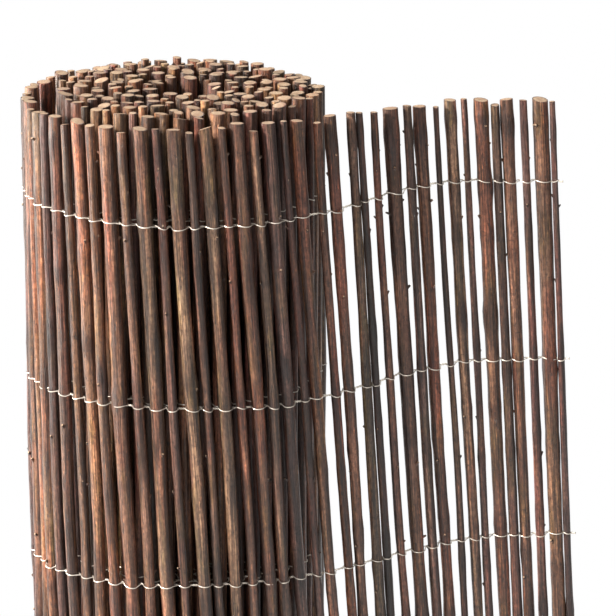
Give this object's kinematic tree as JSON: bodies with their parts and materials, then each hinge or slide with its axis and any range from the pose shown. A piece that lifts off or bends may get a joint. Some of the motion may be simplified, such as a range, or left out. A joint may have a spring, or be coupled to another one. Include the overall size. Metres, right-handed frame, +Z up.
{
  "type": "willow screen",
  "caption": "Willow screen of upright rods bound with wire, standing rolled up with its free end drawn out as a loose panel.",
  "frame": {"origin": "middle of the footprint, on the floor", "axes": "+Z up along the rods, the roll towards -X, the free end of the panel towards +X, the viewer at -Y"},
  "size_m": [0.4098, 0.2082, 1.0077],
  "materials": {
    "willow_bark": "satin",
    "galvanised_wire": "satin"
  },
  "bodies": {
    "root": {"binding_wire_1": "galvanised_wire", "binding_wire_2": "galvanised_wire", "binding_wire_3": "galvanised_wire", "binding_wire_4": "galvanised_wire", "binding_wire_5": "galvanised_wire", "binding_wire_6": "galvanised_wire", "binding_wire_7": "galvanised_wire", "binding_wire_8": "galvanised_wire", "outer_turn_rods": "willow_bark", "panel_rod_01": "willow_bark", "panel_rod_02": "willow_bark", "panel_rod_03": "willow_bark", "panel_rod_04": "willow_bark", "panel_rod_05": "willow_bark", "panel_rod_06": "willow_bark", "panel_rod_07": "willow_bark", "panel_rod_08": "willow_bark", "panel_rod_09": "willow_bark", "panel_rod_10": "willow_bark", "panel_rod_11": "willow_bark", "panel_rod_12": "willow_bark", "panel_rod_13": "willow_bark", "panel_rod_14": "willow_bark", "panel_rod_15": "willow_bark", "panel_rod_16": "willow_bark", "panel_rod_17": "willow_bark", "panel_rod_18": "willow_bark", "panel_rod_19": "willow_bark", "roll_turn_1_rods": "willow_bark", "roll_turn_2_rods": "willow_bark", "roll_turn_3_rods": "willow_bark", "roll_turn_4_rods": "willow_bark", "roll_turn_5_rods": "willow_bark", "roll_turn_6_rods": "willow_bark", "roll_turn_7_rods": "willow_bark"}
  },
  "joints": []
}
